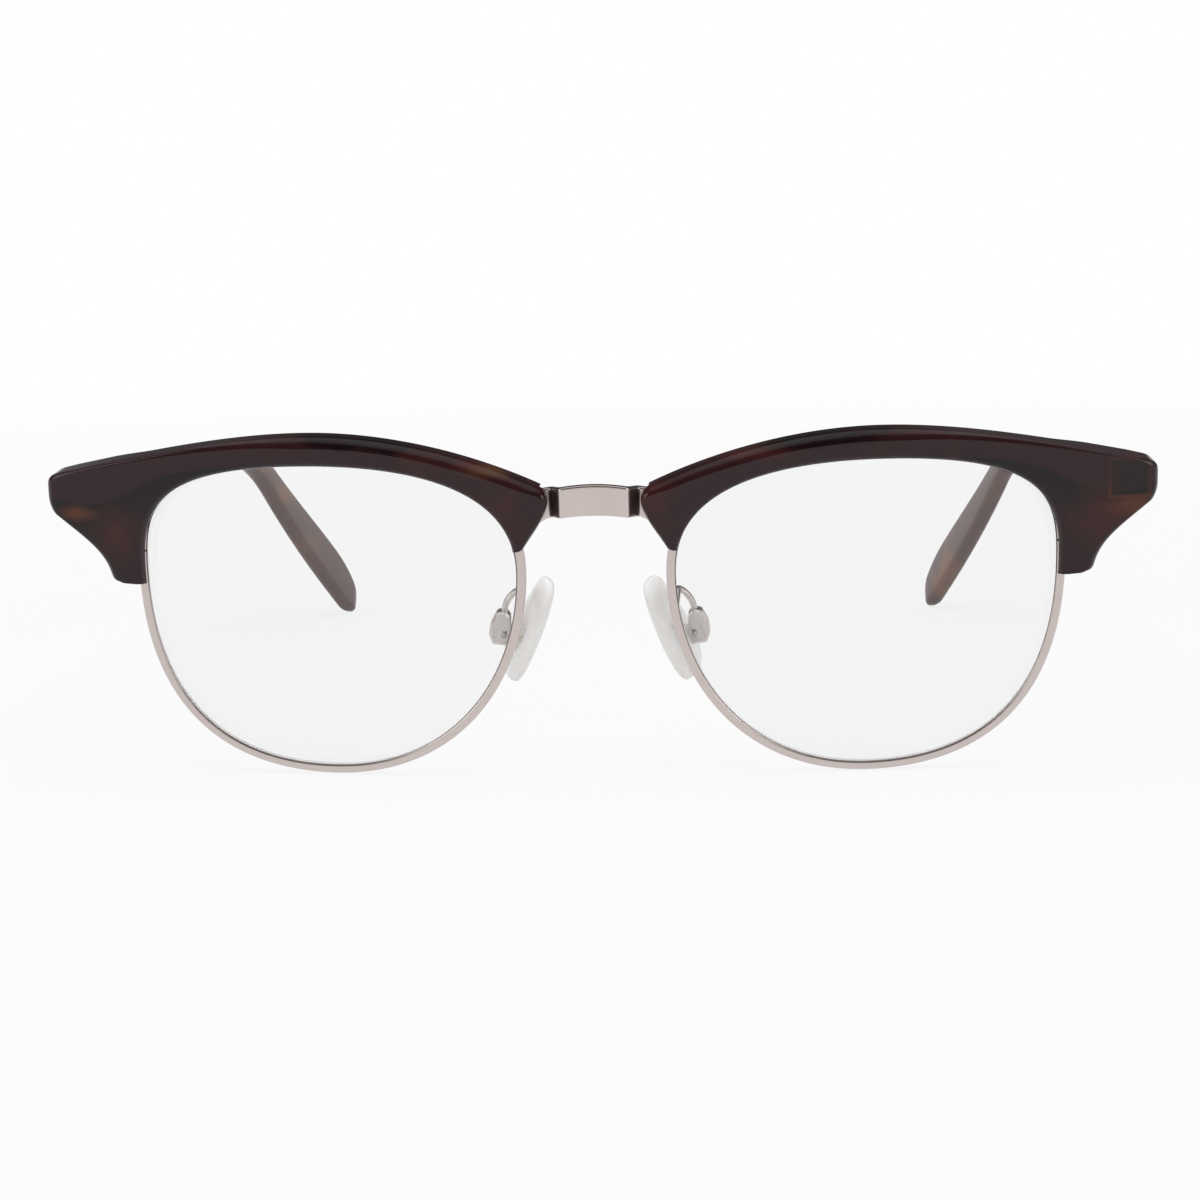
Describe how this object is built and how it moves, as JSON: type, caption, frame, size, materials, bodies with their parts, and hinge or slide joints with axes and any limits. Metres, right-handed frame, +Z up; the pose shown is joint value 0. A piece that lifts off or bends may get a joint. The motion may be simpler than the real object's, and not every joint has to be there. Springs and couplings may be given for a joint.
{
  "type": "browline glasses",
  "caption": "Browline glasses: tortoise acetate brows over metal eyewires, a flat metal bridge, clear round lenses, silicone nose pads on arms, and acetate temples that fold on screw hinges.",
  "frame": {"origin": "middle of the standing glasses, on the surface that the eyewires and the temple tips stand on, halfway between the brows' front and the tips' back", "axes": "+X across the front towards the wearer's left, +Y back along the temples towards the tips, +Z up"},
  "size_m": [0.1476, 0.1464, 0.0463],
  "materials": {
    "brow_acetate": "polished very dark tortoise acetate, with a few maroon and amber patches",
    "temple_acetate": "polished dark tortoise acetate",
    "metal": "satin warm silver, lightly brushed along the piece",
    "screw_metal": "turned and slotted, satin silver",
    "core_metal": "plain flat wire, hidden in the temple",
    "lens": "clear plain lens with a very slight grey tint",
    "silicone": "soft milky translucent silicone, satin",
    "pad_core": "stiff moulded core inside the pad"
  },
  "bodies": {
    "front": {"bridge": "metal", "rim_left": "metal", "rim_right": "metal", "lens_left": "lens", "lens_right": "lens", "brow_left": "brow_acetate", "brow_right": "brow_acetate", "brow_screw_left": "screw_metal", "brow_screw_right": "screw_metal", "lock_upper_left": "metal", "lock_upper_right": "metal", "lock_lower_left": "metal", "lock_lower_right": "metal", "lock_screw_left": "screw_metal", "lock_screw_right": "screw_metal", "front_hinge_left": "metal", "front_hinge_right": "metal", "hinge_screw_left": "screw_metal", "hinge_screw_right": "screw_metal", "pad_arm_left": "metal", "pad_arm_right": "metal", "pad_box_left": "metal", "pad_box_right": "metal", "pad_screw_left": "screw_metal", "pad_screw_right": "screw_metal"},
    "temple_left": {"temple_left": "temple_acetate", "temple_hinge_left": "metal", "core_wire_left": "core_metal"},
    "temple_right": {"temple_right": "temple_acetate", "temple_hinge_right": "metal", "core_wire_right": "core_metal"},
    "pad_left": {"nose_pad_left": "silicone", "pad_insert_left": "pad_core"},
    "pad_right": {"nose_pad_right": "silicone", "pad_insert_right": "pad_core"}
  },
  "joints": [
    {"name": "temple_left_fold", "type": "hinge", "parent": "front", "child": "temple_left", "pos_m": [0.0668, -0.06061, 0.03838], "axis": [0, 0.0495, 0.9988], "range_deg": [0, 85]},
    {"name": "temple_right_fold", "type": "hinge", "parent": "front", "child": "temple_right", "pos_m": [-0.0668, -0.06061, 0.03838], "axis": [0, -0.0495, -0.9988], "range_deg": [0, 70]},
    {"name": "pad_left_rock", "type": "hinge", "parent": "front", "child": "pad_left", "pos_m": [0.0127, -0.06351, 0.01872], "axis": [0, 0.9956, 0.0941], "range_deg": [-10, 10]},
    {"name": "pad_right_rock", "type": "hinge", "parent": "front", "child": "pad_right", "pos_m": [-0.0127, -0.06351, 0.01872], "axis": [0, 0.9956, 0.0941], "range_deg": [-10, 10]}
  ]
}
